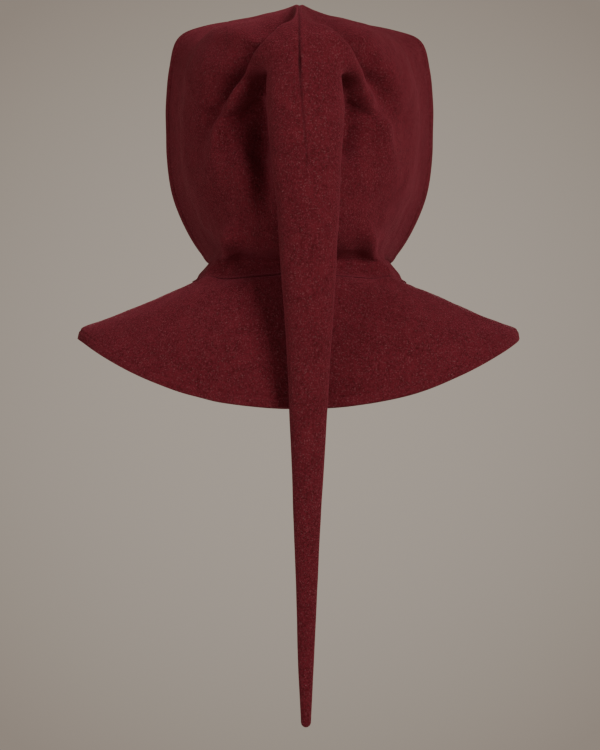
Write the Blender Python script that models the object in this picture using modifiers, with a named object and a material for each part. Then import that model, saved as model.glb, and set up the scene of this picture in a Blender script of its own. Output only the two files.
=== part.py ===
"""A chaperon hood of thick fulled wool: two hood halves, a hanging tail and a shoulder cape.

The face opening looks along -Y and the tail, or liripipe, hangs behind at +Y. The origin is at
the crown of the head that holds the hood up, just under the cloth. All lengths below are in
millimetres and are turned into metres when the meshes are made.
"""

from collections import namedtuple
from math import pi

import bmesh
import bpy
import numpy as np

MM = 0.001

# Cloth
CLOTH = 2.6
HEM = 4.4
HEM_WIDTH = 8.0
HEM_STEP = 2.5
HEM_SWELL = 0.7
HEM_EDGE_ROUND = 0.7
HEM_EDGE_ANGLE = 1.2
SEAM_GAP = 0.3
WELD = 0.01
WOOL_COLOUR = (0.098, 0.0103, 0.0144, 1.0)

# The neck seam lies in one plane, a little higher at the nape than at the throat.
NECK_SEAM_Z = -257.0
NECK_SEAM_RISE = 0.0855

# Columns of the grid, from the face edge round the side to the middle of the back
SIDE_COLUMNS = 7
BACK_COLUMNS = 20
SIDE_SHARE = 0.36

# Each section runs from the face edge or throat (front), past the ear (side), to the back.
# rows: grid rows from the section before. closed: 1 where the two halves meet in front.
# full: 2 is a round back, more is squarer. cone: 1 flares down into the tail like a trumpet.
# The sections from root_low up end on the ring of the tail's root.
# lean: how much the left side is raised and the right side lowered.
Section = namedtuple(
    "Section",
    "name rows closed front_x front_y front_z side_x side_y side_z back_y back_z full cone lean",
)
SECTIONS = [
    Section("cape_hem", 0, 1.0, 0, -142, -372, 210, -12, -311.5, 107, -376, 2.3, 0, 0),
    Section("cape_hem_top", 1, 1.0, 0, -140, -364, 208.5, -12, -303.5, 105, -368, 2.3, 0, 0),
    Section("cape_hem_step", 1, 1.0, 0, -139.5, -361.5, 206.5, -12, -301, 104.5, -365.5, 2.3, 0, 0),
    Section("cape_low", 2, 1.0, 0, -132, -331, 177, -12, -290.5, 98, -330, 2.3, 0, 0),
    Section("cape_middle", 2, 1.0, 0, -124, -300, 147, -13, -278, 88, -297, 2.2, 0, 0),
    Section("cape_high", 1, 1.0, 0, -116, -283, 123, -14, -267.5, 77, -269, 2.1, 0, 0),
    Section("neck_seam", 1, 1.0, 0, -110, -266.8, 102, -15, -258.3, 66, -251.3, 2.0, 0, 0),
    Section("nape_flare", 1, 1.0, 0, -108, -257, 94, -16, -249, 58, -245, 2.0, 0, 0),
    Section("throat", 1, 1.0, 0, -108, -247, 88, -18, -242, 56, -238, 2.0, 0, 0),
    Section("lip", 1, 0.6, 46, -106, -244, 84, -20, -236, 66, -231, 2.0, 0, 0),
    Section("jaw_corner", 1, 0.2, 85, -102, -238, 84, -22, -229, 81, -225, 2.0, 0, 0),
    Section("jaw", 1, 0, 97, -99, -226, 87, -24, -220, 93, -212, 2.0, 0, 0),
    Section("cheek_low", 2, 0, 117.5, -97, -190, 98, -26, -192, 100, -180, 2.0, 0, 0),
    Section("cheek", 2, 0, 128, -97, -154, 110, -28, -160, 99, -148, 2.0, 0, 0),
    Section("under_root", 1, 0, 130.5, -97, -130, 113.5, -29, -137, 92.5, -129, 2.0, 0, 0),
    Section("root_low", 1, 0, 131, -97, -110, 114, -30, -115, 93, -108, 2.0, 0, 0),
    Section("temple", 3, 0, 131, -97, -75, 114, -30, -88, 98.5, -101.5, 2.0, 0.3, 0),
    Section("brow", 2, 0, 128, -97, -45, 110, -30, -58, 107, -92, 2.3, 0.8, 0.5),
    Section("corner", 2, 0, 120, -97, -17, 100, -28, -34, 117.5, -80, 1.85, 1, 1.5),
    Section("top_side", 2, 0, 96, -97, -5.5, 78, -24, -16, 127.5, -69, 2.0, 1, 2.2),
    Section("top_middle", 2, 0, 50, -97, 2, 40, -20, -5, 134.5, -61, 2.0, 1, 1.5),
    Section("crown", 2, 0, 0, -97, 5, 0, -10, 4.5, 137, -58, 2.0, 1, 0),
]
SECTION_NAMES = [section.name for section in SECTIONS]

# The tail's sections: its low side faces the nape, its high side faces away from the head.
# middle_x: it hangs a little to the right of the hood's middle.
TailSection = namedtuple("TailSection", "rings low_y low_z high_y high_z half_width middle_x")
TAIL = [
    TailSection(0, 93, -108, 137, -58, 36, -4),
    TailSection(1, 97.5, -119, 142, -77, 35.3, -5),
    TailSection(1, 102, -131, 144, -98, 34.2, -5.5),
    TailSection(2, 104.3, -159, 145, -143, 31.6, -6.5),
    TailSection(3, 105, -204, 144, -200, 28.1, -8),
    TailSection(3, 107, -260, 141, -260, 24.2, -8.3),
    TailSection(4, 112, -370, 137, -370, 17.5, -8.2),
    TailSection(3, 114.5, -470, 134, -470, 12.6, -7),
    TailSection(3, 116, -560, 131, -560, 9, -6.4),
    TailSection(2, 118, -620, 129.5, -620, 6.5, -5.8),
    TailSection(1, 119.5, -656, 128, -656, 4.4, -5.6),
]
TIP_LENGTH = 5.0
TIP_RINGS = 2

# The tail is cut a little below its root. Below that, this is the air between the tail and what
# is in front of it: the nape, then the cape's back.
ROOT_CUT_DROP = 5.5
ROOT_CUT_Y = 94.0
NAPE_GAP_TOP_Y = 95.4
NAPE_GAP_TOP_Z = -122.0
NAPE_GAP_Y = 101.8
NAPE_GAP_Z = -147.0
CAPE_GAP_Y = 109.8
CAPE_BACK_TOP_Z = -285.0
CAPE_BACK_LOW_Z = -362.0

# Folds as seen from straight behind: a bent line from start through bend to end, the lift of the
# cloth along it (less than 0 for a valley) and the width of the fold to each side.
Fold = namedtuple("Fold", "name start_x start_z bend_x bend_z end_x end_z lift width")
FOLDS = [
    Fold("left_valley", 2, 8, 64, -20, 90, -122, -17, 8),
    Fold("left_ridge", 6, -16, 56, -46, 84, -142, 6, 7),
    Fold("left_inner_ridge", 22, -42, 38, -54, 46, -74, 2, 5),
    Fold("left_hollow", 38, -72, 48, -124, 30, -206, -9, 8),
    Fold("right_valley", -4, 10, -72, -12, -96, -106, -18, 8),
    Fold("right_ridge", -12, -14, -62, -48, -84, -142, 6, 7),
    Fold("right_hollow", -40, -70, -50, -108, -42, -146, -8, 7),
    Fold("left_neck_ridge", 92, -254, 52, -238, 72, -206, 8, 5),
    Fold("left_neck_pocket", 94, -212, 92, -236, 70, -238, -8, 6),
    Fold("left_nape_tuck", 74, -245, 45, -244, 5, -240, -6, 5),
    Fold("right_neck_ridge", -86, -252, -54, -238, -76, -206, 8, 5),
    Fold("right_neck_pocket", -94, -214, -90, -234, -72, -236, -8, 6),
    Fold("right_nape_tuck", -68, -245, -45, -244, -5, -240, -6, 5),
]
FOLD_SAMPLES = 24
FOLD_END_FADE = 0.2
# The folds start this far back on the sides and on the top, and fade next to the tail's root
# and at the middle seams.
SIDE_FOLDS_FROM = -60.0
SIDE_FOLDS_FULL = -10.0
TOP_FOLDS_FROM = -4.0
TOP_FOLDS_FULL = 26.0
TOP_NORMAL_FROM = 0.2
TOP_NORMAL_FULL = 0.7
ROOT_FADE_FROM = 0.0
ROOT_FADE_FULL = 16.0
MIDDLE_FADE = 9.0
ROOT_POINTS = 49

# Points worked out along each section before the grid's columns are spread over it
CURVE_SAMPLES = 241

# Blocks that cut the pieces apart: how far they reach past the garment
BLOCK_WIDE = 400.0
BLOCK_TOP = 400.0
BLOCK_BOTTOM = -900.0
TAIL_BLOCK_WIDE = 60.0
TAIL_BLOCK_FAR_Y = 300.0


def smooth_step(value, low, high):
    """0 up to low, 1 from high, and a smooth rise between."""
    share = np.clip((value - low) / (high - low), 0, 1)
    return share * share * (3 - 2 * share)


def spline(knots, values, at):
    """A smooth curve through values at knots (Catmull-Rom), read at each place in at."""
    slopes = np.gradient(values, knots, axis=0)
    index = np.clip(np.searchsorted(knots, at, side="right") - 1, 0, len(knots) - 2)
    width = (knots[index + 1] - knots[index])[:, None]
    t = (at - knots[index])[:, None] / width
    start, end = values[index], values[index + 1]
    start_slope, end_slope = slopes[index] * width, slopes[index + 1] * width
    return (
        (2 * t**3 - 3 * t**2 + 1) * start
        + (t**3 - 2 * t**2 + t) * start_slope
        + (3 * t**2 - 2 * t**3) * end
        + (t**3 - t**2) * end_slope
    )


def table_rows(table, steps):
    """The numbers of a table, smoothly filled in so that each row is steps apart from the last."""
    knots = np.cumsum(steps).astype(float)
    values = np.array([[float(cell) for cell in row] for row in table])
    return spline(knots, values, np.arange(knots[-1] + 1))


def section_curve(row, side, root_end=None):
    """Points along one section, from the front past the side to the back."""
    closed, fx, fy, fz, sx, sy, sz, by, bz, full, cone, lean = row
    fz, sz, bx = fz + side * lean, sz + side * lean, 0.0
    if root_end is not None:
        bx, by, bz = root_end
    w = np.linspace(1, 0, CURVE_SAMPLES)
    turn = w * pi / 2
    round_x, round_y = 1 - np.cos(turn), np.sin(turn)
    open_x, open_y = w**2, w
    front = np.stack(
        [
            sx + (fx - sx) * (closed * round_x + (1 - closed) * open_x),
            sy + (fy - sy) * (closed * round_y + (1 - closed) * open_y),
            sz + (fz - sz) * np.sin(turn) ** 2,
        ],
        axis=1,
    )
    w = np.linspace(0, 1, CURVE_SAMPLES)[1:]
    turn = w * pi / 2
    power = 2 / full
    round_x, round_z = np.clip(np.cos(turn), 0, 1) ** power, np.sin(turn) ** 2
    cone_x, cone_z = np.cos(turn) ** 2, 1 - np.cos(turn)
    back = np.stack(
        [
            bx + (sx - bx) * ((1 - cone) * round_x + cone * cone_x),
            sy + (by - sy) * np.sin(turn) ** power,
            sz + (bz - sz) * ((1 - cone) * round_z + cone * cone_z),
        ],
        axis=1,
    )
    return np.concatenate([front, back])


def spread_along(curve, shares, first_lengths=()):
    """Points of the curve at shares of its length, the first few at set lengths instead."""
    length = np.concatenate([[0], np.cumsum(np.linalg.norm(np.diff(curve, axis=0), axis=1))])
    wanted = shares * length[-1]
    wanted[: len(first_lengths)] = first_lengths
    return np.stack([np.interp(wanted, length, curve[:, axis]) for axis in range(3)], axis=1)


def column_shares():
    """Shares of a section's length, closer together over the back, where the folds are."""
    side = np.linspace(0, SIDE_SHARE, SIDE_COLUMNS + 1)
    back = np.linspace(SIDE_SHARE, 1, BACK_COLUMNS + 1)
    return np.concatenate([side, back[1:]])


def ring(angle, low_y, low_z, high_y, high_z, half_width, middle_x, held=0):
    """Points round the tail: angle 0 is its high side, and half a turn on is its low side.

    held is 1 at the root, whose high and low points stay on the hood's middle seam.
    """
    return np.stack(
        [
            middle_x * (1 - held * np.cos(angle) ** 2) + half_width * np.sin(angle),
            (high_y + low_y) / 2 + (high_y - low_y) / 2 * np.cos(angle),
            (high_z + low_z) / 2 + (high_z - low_z) / 2 * np.cos(angle),
        ],
        axis=-1,
    )


def row_number(name):
    """The grid row on which the named section lies."""
    return sum(section.rows for section in SECTIONS[: SECTION_NAMES.index(name) + 1])


def half_grid(side):
    """The grid of one half, rows from the cape's hem to the crown: side is 1 left, -1 right."""
    table = [section[2:] for section in SECTIONS]
    rows = table_rows(table, [section.rows for section in SECTIONS])
    first_root_row, last_row = row_number("root_low"), len(rows) - 1
    grid = []
    for number, row in enumerate(rows):
        root_end = None
        if number >= first_root_row:
            angle = side * pi * (last_row - number) / (last_row - first_root_row)
            root_end = ring(angle, *TAIL[0][1:], held=1) * (side, 1, 1)
        curve = section_curve(row, side, root_end)
        hem_lengths = (0, HEM_WIDTH, HEM_WIDTH + HEM_STEP) if number > row_number("throat") else ()
        grid.append(spread_along(curve, column_shares(), hem_lengths))
    grid = np.array(grid)
    grid[-1, :, 0] = 0
    grid[:, :, 0] *= side
    return lifted(grid, side)


def root_distance(points):
    """How far each point is from the ring on which the tail starts."""
    root = ring(np.linspace(0, 2 * pi, ROOT_POINTS), *TAIL[0][1:], held=1)
    return np.linalg.norm(points[..., None, :] - root, axis=-1).min(axis=-1)


def lifted(grid, side):
    """The grid moved along its normals by the folds and by the swell of the turned hems.

    The folds fade out over the top, towards the front of the sides, next to the tail's root and
    at the middle seams.
    """
    normal = np.cross(np.gradient(grid, axis=1), np.gradient(grid, axis=0)) * side
    on_seam = np.abs(grid[:, :, 0]) < 1e-6
    normal[on_seam, 0] = 0
    normal /= np.linalg.norm(normal, axis=2, keepdims=True)
    top = smooth_step(normal[:, :, 2], TOP_NORMAL_FROM, TOP_NORMAL_FULL)
    side_share = smooth_step(grid[:, :, 1], SIDE_FOLDS_FROM, SIDE_FOLDS_FULL)
    top_share = smooth_step(grid[:, :, 1], TOP_FOLDS_FROM, TOP_FOLDS_FULL)
    lift = fold_lift(grid[:, :, 0], grid[:, :, 2])
    lift *= side_share * (1 - top) + top_share * top
    lift *= smooth_step(root_distance(grid), ROOT_FADE_FROM, ROOT_FADE_FULL)
    lift *= smooth_step(np.abs(grid[:, :, 0]), 0, MIDDLE_FADE)
    lift[row_number("throat") + 1 :, :2] += HEM_SWELL
    lift[:2] += HEM_SWELL
    return grid + normal * lift[:, :, None]


def fold_lift(x, z):
    """The lift of the cloth, from all folds, at places seen from straight behind."""
    total = np.zeros_like(x)
    t = np.linspace(0, 1, FOLD_SAMPLES)
    fade = smooth_step(t, 0, FOLD_END_FADE) * smooth_step(1 - t, 0, FOLD_END_FADE)
    for fold in FOLDS:
        line_x = (1 - t) ** 2 * fold.start_x + 2 * t * (1 - t) * fold.bend_x + t**2 * fold.end_x
        line_z = (1 - t) ** 2 * fold.start_z + 2 * t * (1 - t) * fold.bend_z + t**2 * fold.end_z
        away = (x[..., None] - line_x) ** 2 + (z[..., None] - line_z) ** 2
        total += fold.lift * (fade * np.exp(-away / (2 * fold.width**2))).max(axis=-1)
    return total


def tail_rings(root_ring):
    """The tail's rings below the root, which is shared with the hood, as a list of loops."""
    rings = table_rows([section[1:] for section in TAIL], [section.rings for section in TAIL])
    count = len(root_ring)
    angle = 2 * pi * np.arange(count) / count
    loops = [root_ring]
    for section in rings[1:]:
        loops.append(ring(angle, *section))
    low_y, low_z, high_y, high_z, half_width, middle_x = rings[-1]
    for step in range(1, TIP_RINGS + 1):
        turn = step / (TIP_RINGS + 1) * pi / 2
        drop, shrink = TIP_LENGTH * np.sin(turn), np.cos(turn)
        middle, reach = (low_y + high_y) / 2, (high_y - low_y) / 2 * shrink
        end = (middle - reach, low_z - drop, middle + reach, high_z - drop)
        loops.append(ring(angle, *end, half_width * shrink, middle_x))
    tip = np.array([middle_x, (low_y + high_y) / 2, low_z - TIP_LENGTH])
    return loops, tip


def garment_mesh(name):
    """The whole garment as one open surface, with the cloth's thickness as vertex weights."""
    bm = bmesh.new()
    weight = bm.verts.layers.deform.verify()

    def add(point, thickness):
        vertex = bm.verts.new([value * MM for value in point])
        vertex[weight][0] = thickness / HEM
        return vertex

    def quads(grid, closed_round=False):
        height, width = len(grid), len(grid[0])
        for i in range(height - 1):
            for j in range(width - (0 if closed_round else 1)):
                k = (j + 1) % width
                bm.faces.new((grid[i][j], grid[i][k], grid[i + 1][k], grid[i + 1][j]))

    halves = {}
    for side in (1, -1):
        points = half_grid(side)
        halves[side] = points
        hem_rows, face_rows = 2, row_number("throat") + 1
        vertices = []
        for i, row in enumerate(points):
            line = []
            for j, point in enumerate(row):
                hemmed = i < hem_rows or (i >= face_rows and j < 2)
                line.append(add(point, HEM if hemmed else CLOTH))
            vertices.append(line)
        quads(vertices)
    first_root_row = row_number("root_low")
    left_root = halves[1][first_root_row:, -1][::-1]
    right_root = halves[-1][first_root_row:, -1]
    loops, tip = tail_rings(np.concatenate([left_root, right_root[1:-1]]))
    vertices = [[add(point, CLOTH) for point in loop] for loop in loops]
    quads(vertices, closed_round=True)
    end = add(tip, CLOTH)
    last = vertices[-1]
    for j, vertex in enumerate(last):
        bm.faces.new((vertex, last[(j + 1) % len(last)], end))
    bmesh.ops.remove_doubles(bm, verts=bm.verts, dist=WELD * MM)
    bmesh.ops.recalc_face_normals(bm, faces=bm.faces)
    mesh = bpy.data.meshes.new(name)
    bm.to_mesh(mesh)
    bm.free()
    mesh.shade_smooth()
    return mesh


def wool(name):
    """Matt burgundy wool."""
    material = bpy.data.materials.new(name)
    material.use_nodes = True
    shader = material.node_tree.nodes["Principled BSDF"]
    shader.inputs["Base Color"].default_value = WOOL_COLOUR
    shader.inputs["Roughness"].default_value = 0.95
    shader.inputs["Metallic"].default_value = 0.0
    return material


def collection(name):
    """A new collection in the scene."""
    made = bpy.data.collections.new(name)
    bpy.context.scene.collection.children.link(made)
    return made


def cutter(name, outline, x_low, x_high, home):
    """A block whose outline in Y and Z is given, from x_low to x_high."""
    bm = bmesh.new()
    face = bm.faces.new([bm.verts.new((x_low * MM, y * MM, z * MM)) for y, z in outline])
    moved = bmesh.ops.extrude_face_region(bm, geom=[face])["geom"]
    vertices = [item for item in moved if isinstance(item, bmesh.types.BMVert)]
    bmesh.ops.translate(bm, verts=vertices, vec=((x_high - x_low) * MM, 0, 0))
    bmesh.ops.recalc_face_normals(bm, faces=bm.faces)
    mesh = bpy.data.meshes.new(name)
    bm.to_mesh(mesh)
    bm.free()
    made = bpy.data.objects.new(name, mesh)
    made.hide_render = True
    made.display_type = "WIRE"
    home.objects.link(made)
    return made


def piece(name, cuts, home):
    """One piece of the garment: the whole cloth, given its thickness and cut along its seams."""
    made = bpy.data.objects.new(name, garment_mesh(name))
    made.vertex_groups.new(name="thickness")
    made.data.materials.append(wool(name + "_wool"))
    home.objects.link(made)
    solid = made.modifiers.new("Cloth", "SOLIDIFY")
    solid.thickness = HEM * MM
    solid.offset = -1
    solid.vertex_group = "thickness"
    solid.use_quality_normals = True
    bevel = made.modifiers.new("Hem edge", "BEVEL")
    bevel.width = HEM_EDGE_ROUND * MM
    bevel.segments = 1
    bevel.limit_method = "ANGLE"
    bevel.angle_limit = HEM_EDGE_ANGLE
    for operation, block in cuts:
        cut = made.modifiers.new(block.name, "BOOLEAN")
        cut.operation = operation
        cut.object = block
        cut.solver = "EXACT"
    return made


def neck_outline(shift, reach):
    """A block's outline with one long side on the neck seam's plane, moved up by shift."""
    return [
        (-BLOCK_WIDE, NECK_SEAM_Z - NECK_SEAM_RISE * BLOCK_WIDE + shift),
        (BLOCK_WIDE, NECK_SEAM_Z + NECK_SEAM_RISE * BLOCK_WIDE + shift),
        (BLOCK_WIDE, reach),
        (-BLOCK_WIDE, reach),
    ]


def root_outline(shift):
    """The outline round the tail: down its root's plane, then down between it and the nape."""
    root = TAIL[0]
    lean = (root.high_z - root.low_z) / (root.high_y - root.low_y)
    cut_z = root.low_z - ROOT_CUT_DROP - shift
    return [
        (TAIL_BLOCK_FAR_Y, cut_z + lean * (TAIL_BLOCK_FAR_Y - root.low_y)),
        (ROOT_CUT_Y + shift, cut_z + lean * (ROOT_CUT_Y - root.low_y)),
        (NAPE_GAP_TOP_Y + shift, NAPE_GAP_TOP_Z),
        (NAPE_GAP_Y + shift, NAPE_GAP_Z),
        (NAPE_GAP_Y + shift, CAPE_BACK_TOP_Z),
        (CAPE_GAP_Y + shift, CAPE_BACK_LOW_Z),
        (CAPE_GAP_Y + shift, BLOCK_BOTTOM),
        (TAIL_BLOCK_FAR_Y, BLOCK_BOTTOM),
    ]


def build():
    """Clears the scene and makes the four pieces."""
    for old in list(bpy.data.objects):
        bpy.data.objects.remove(old, do_unlink=True)
    garment = collection("chaperon_hood")
    cutters = collection("cutters")
    cutters.hide_render = True
    half_gap = SEAM_GAP / 2
    side_block = [
        (-BLOCK_WIDE, BLOCK_BOTTOM),
        (BLOCK_WIDE, BLOCK_BOTTOM),
        (BLOCK_WIDE, BLOCK_TOP),
        (-BLOCK_WIDE, BLOCK_TOP),
    ]
    across = (-BLOCK_WIDE, BLOCK_WIDE)
    tail_across = (-TAIL_BLOCK_WIDE, TAIL_BLOCK_WIDE)
    left = cutter("left_of_seam", side_block, half_gap, BLOCK_WIDE, cutters)
    right = cutter("right_of_seam", side_block, -BLOCK_WIDE, -half_gap, cutters)
    above_neck = cutter("above_neck_seam", neck_outline(half_gap, BLOCK_TOP), *across, cutters)
    below_neck = cutter("below_neck_seam", neck_outline(-half_gap, BLOCK_BOTTOM), *across, cutters)
    tail_room = cutter("tail_room", root_outline(-half_gap), *tail_across, cutters)
    tail_block = cutter("tail_block", root_outline(half_gap), *tail_across, cutters)
    hood_cuts = [("DIFFERENCE", tail_room), ("INTERSECT", above_neck)]
    piece("hood_left", hood_cuts + [("INTERSECT", left)], garment)
    piece("hood_right", hood_cuts + [("INTERSECT", right)], garment)
    piece("liripipe", [("INTERSECT", tail_block)], garment)
    piece("cape", [("DIFFERENCE", tail_room), ("INTERSECT", below_neck)], garment)


build()
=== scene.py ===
from collections import namedtuple
from math import atan, radians

import bpy
import numpy as np
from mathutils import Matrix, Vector


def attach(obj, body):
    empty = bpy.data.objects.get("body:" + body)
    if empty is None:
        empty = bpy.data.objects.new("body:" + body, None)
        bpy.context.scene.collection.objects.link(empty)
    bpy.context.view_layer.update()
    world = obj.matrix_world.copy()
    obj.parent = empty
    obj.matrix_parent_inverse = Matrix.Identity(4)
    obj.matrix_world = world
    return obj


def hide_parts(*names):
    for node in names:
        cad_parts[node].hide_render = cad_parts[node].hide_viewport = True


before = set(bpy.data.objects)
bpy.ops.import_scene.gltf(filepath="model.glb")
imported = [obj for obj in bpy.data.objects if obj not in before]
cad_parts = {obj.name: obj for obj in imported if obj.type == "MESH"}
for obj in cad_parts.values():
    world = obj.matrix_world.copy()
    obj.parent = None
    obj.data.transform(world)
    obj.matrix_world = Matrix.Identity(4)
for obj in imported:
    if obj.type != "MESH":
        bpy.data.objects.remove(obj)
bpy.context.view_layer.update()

# Camera
# The hood is seen level and from straight behind, from 2.6 m away, so the tail hangs towards
# the camera. Half the picture's height at the hood's middle sets the lens.
CAMERA_AWAY = 2.6
CAMERA_X, CAMERA_Z = -0.0005, -0.3462
HALF_HEIGHT_SEEN = 0.35625
NEAREST_SEEN, FARTHEST_SEEN = 0.1, 50
SENSOR = 36

camera = bpy.data.objects.new("camera", bpy.data.cameras.new("camera"))
bpy.context.scene.collection.objects.link(camera)
camera.location = (CAMERA_X, CAMERA_AWAY, CAMERA_Z)
camera.rotation_euler = (radians(90), 0, radians(180))
camera.data.sensor_fit = "VERTICAL"
camera.data.sensor_width = camera.data.sensor_height = SENSOR
camera.data.angle = 2 * atan(HALF_HEIGHT_SEEN / CAMERA_AWAY)
camera.data.clip_start, camera.data.clip_end = NEAREST_SEEN, FARTHEST_SEEN
bpy.context.scene.camera = camera

# Hood with its hanging tail
# The hood is two halves of burgundy wool, sewn together over the crown, down the nape and under
# the chin. The cloth is fulled, so it is thick, soft and felted. The face edge is turned in and
# stitched down. The long tail is sewn on where the back of the hood comes to a peak.
MM = 0.001
# How thick the cloth and its turned hem are, in millimetres
CLOTH = 2.6
HEM = 4.2

# Each section runs from the face edge or throat (front) past the ear (side) to the back.
# row: its place up the grid. closed: 1 where the two halves meet in front. full: 2 is a round
# back, more is squarer. cone: 1 flares down into the tail like a trumpet. lean: how much the
# left side is raised and the right side lowered. The cape's sections stand first, so it meets
# the hood exactly at the neck seam.
Section = namedtuple(
    "Section",
    "name row closed front_x front_y front_z side_x side_y side_z back_y back_z full cone lean",
)
SECTIONS = [
    Section("cape_hem", 0, 1.0, 0, -142, -372, 210, -12, -311.5, 107, -376, 2.3, 0, 0),
    Section("cape_hem_top", 1, 1.0, 0, -140, -364, 208.5, -12, -303.5, 105, -368, 2.3, 0, 0),
    Section("cape_hem_step", 2, 1.0, 0, -139.5, -361.5, 206.5, -12, -301, 104.5, -365.5, 2.3, 0, 0),
    Section("cape_low", 4, 1.0, 0, -132, -331, 177, -12, -290.5, 98, -330, 2.3, 0, 0),
    Section("cape_middle", 6, 1.0, 0, -124, -300, 147, -13, -278, 88, -297, 2.2, 0, 0),
    Section("cape_high", 7, 1.0, 0, -116, -283, 123, -14, -267.5, 77, -269, 2.1, 0, 0),
    Section("neck_seam", 8, 1.0, 0, -110, -266.8, 102, -15, -258.3, 66, -251.3, 2.0, 0, 0),
    Section("nape_flare", 9, 1.0, 0, -108, -257, 94, -16, -249, 58, -245, 2.0, 0, 0),
    Section("throat", 10, 1.0, 0, -108, -247, 88, -18, -242, 56, -238, 2.0, 0, 0),
    Section("lip", 11, 0.6, 46, -106, -244, 84, -20, -236, 66, -231, 2.0, 0, 0),
    Section("jaw_corner", 12, 0.2, 85, -102, -238, 84, -22, -229, 81, -225, 2.0, 0, 0),
    Section("jaw", 13, 0, 97, -99, -226, 87, -24, -220, 93, -212, 2.0, 0, 0),
    Section("cheek_low", 15, 0, 117.5, -97, -190, 98, -26, -192, 100, -180, 2.0, 0, 0),
    Section("cheek", 17, 0, 128, -97, -154, 110, -28, -160, 99, -148, 2.0, 0, 0),
    Section("under_root", 18, 0, 130.5, -97, -130, 113.5, -29, -137, 91, -129, 2.0, 0.25, 0),
    Section("root_low", 19, 0, 131, -97, -110, 114, -30, -115, 93, -108, 2.0, 0.5, 0),
    Section("temple", 22, 0, 131, -97, -75, 114, -30, -88, 98.5, -101.5, 2.0, 0.7, 0),
    Section("brow", 24, 0, 128, -97, -45, 110, -30, -58, 107, -92, 2.3, 0.92, 0.5),
    Section("corner", 26, 0, 120, -97, -17, 100, -28, -34, 117.5, -80, 1.85, 1, 1.5),
    Section("top_side", 28, 0, 96, -97, -5.5, 78, -24, -16, 127.5, -69, 2.0, 1, 2.2),
    Section("top_middle", 30, 0, 50, -97, 2, 40, -20, -5, 134.5, -61, 2.0, 1, 1.5),
    Section("crown", 32, 0, 0, -97, 5, 0, -10, 4.5, 137, -58, 2.0, 1, 0),
]
ROW = {section.name: section.row for section in SECTIONS}

# The tail's sections, in millimetres: its low side faces the nape, its high side faces away.
TailSection = namedtuple("TailSection", "step low_y low_z high_y high_z half_width middle_x")
TAIL = [
    TailSection(0, 93, -108, 137, -58, 36, -4),
    TailSection(1, 97.5, -119, 142, -77, 35.3, -5),
    TailSection(2, 102, -131, 144, -98, 34.2, -5.5),
    TailSection(4, 104.3, -159, 145, -143, 31.6, -6.5),
    TailSection(7, 105, -204, 144, -200, 28.1, -8),
    TailSection(10, 107, -260, 141, -260, 24.2, -8.3),
    TailSection(14, 112, -370, 137, -370, 17.5, -8.2),
    TailSection(17, 114.5, -470, 134, -470, 12.6, -7),
    TailSection(20, 116, -560, 131, -560, 9, -6.4),
    TailSection(22, 118, -620, 129.5, -620, 6.5, -5.8),
    TailSection(23, 119.5, -660, 128, -660, 4.4, -5.9),
]
TIP_LENGTH = 5.0

# Folds as seen from straight behind: a bent line from start through bend to end, the lift of the
# cloth along it (less than 0 for a valley) and the width of the fold to each side.
Fold = namedtuple("Fold", "name start_x start_z bend_x bend_z end_x end_z lift width")
FOLDS = [
    Fold("left_valley", 5, -6, 58, -34, 84, -122, -20, 6),
    Fold("left_valley_wide", 30, -15, 70, -38, 84, -108, -10, 11),
    Fold("left_ridge", 10, -16, 58, -53, 82, -142, 6, 5.5),
    Fold("left_ridge_low", 56, -82, 70, -112, 84, -158, 7, 7),
    Fold("left_inner_ridge", 22, -42, 38, -54, 46, -74, 2, 5),
    Fold("left_hollow", 37, -72, 46, -108, 30, -210, -17, 6.5),
    Fold("left_dent", 42, -76, 50, -92, 56, -116, -10, 6.5),
    Fold("right_valley", -7, -6, -65, -33, -88, -108, -18, 6),
    Fold("right_ridge", -16, -14, -58, -70, -84, -142, 6, 5.5),
    Fold("right_ridge_low", -60, -86, -74, -112, -88, -158, 5, 7),
    Fold("right_hollow", -45, -75, -50, -100, -42, -160, -13, 5),
    Fold("right_dent", -54, -84, -62, -94, -72, -104, -8, 8),
    Fold("right_fill", -42, -112, -60, -118, -76, -116, 6, 8),
    Fold("left_neck_pocket", 96, -208, 88, -236, 70, -226, -8, 5),
    Fold("left_neck_ridge", 60, -206, 62, -246, 96, -257, 7, 5),
    Fold("left_bag", 74, -214, 40, -229, 2, -226, 6, 7),
    Fold("left_nape_tuck", 84, -252, 52, -249, 4, -246, -4, 5),
    Fold("right_neck_pocket", -96, -208, -88, -236, -72, -230, -5, 6),
    Fold("right_neck_ridge", -62, -206, -62, -246, -94, -256, 7, 5),
    Fold("right_bag", -74, -214, -40, -231, -2, -228, 2, 8),
    Fold("right_nape_tuck", -80, -251, -50, -249, -4, -246, -4, 5),
]
# Each pair of numbers below says where a change begins and where it is complete. The folds
# start this far back, in millimetres, and fade next to the tail's root, at the middle seams and
# over these shares of their own line.
SIDE_FOLDS = (-60.0, -10.0)
TOP_FOLDS = (-4.0, 26.0)
ROOT_FADE = (0.0, 5.0)
MIDDLE_FADE = (0.0, 9.0)
START_FADE = (0.0, 0.14)
END_FADE = (0.0, 0.25)
# How far the cloth faces upwards where it counts as the hood's top
TOP_FACING = (0.2, 0.7)

# The seams, in millimetres. The low shoulder beside one is placed in half widths of the groove.
SEAM_DEPTH = 1.5
SEAM_HALF_WIDTH = 1.2
SEAM_SHOULDER = 0.4
SHOULDER_PLACE, SHOULDER_HALF_WIDTH = 3.4, 2.0
# The dark seam lines, partly thread and partly painted shade: their half width, and their share on
# the neck seam
SEAM_LINE_HALF_WIDTH = 0.75
NECK_SEAM_SHADE = 0.5
NECK_LIP = 0.4
NECK_LIP_END = (2.0, 5.0)
NECK_LIP_DIP, NECK_LIP_DIP_HALF_WIDTH = 5.5, 1.5

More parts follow.
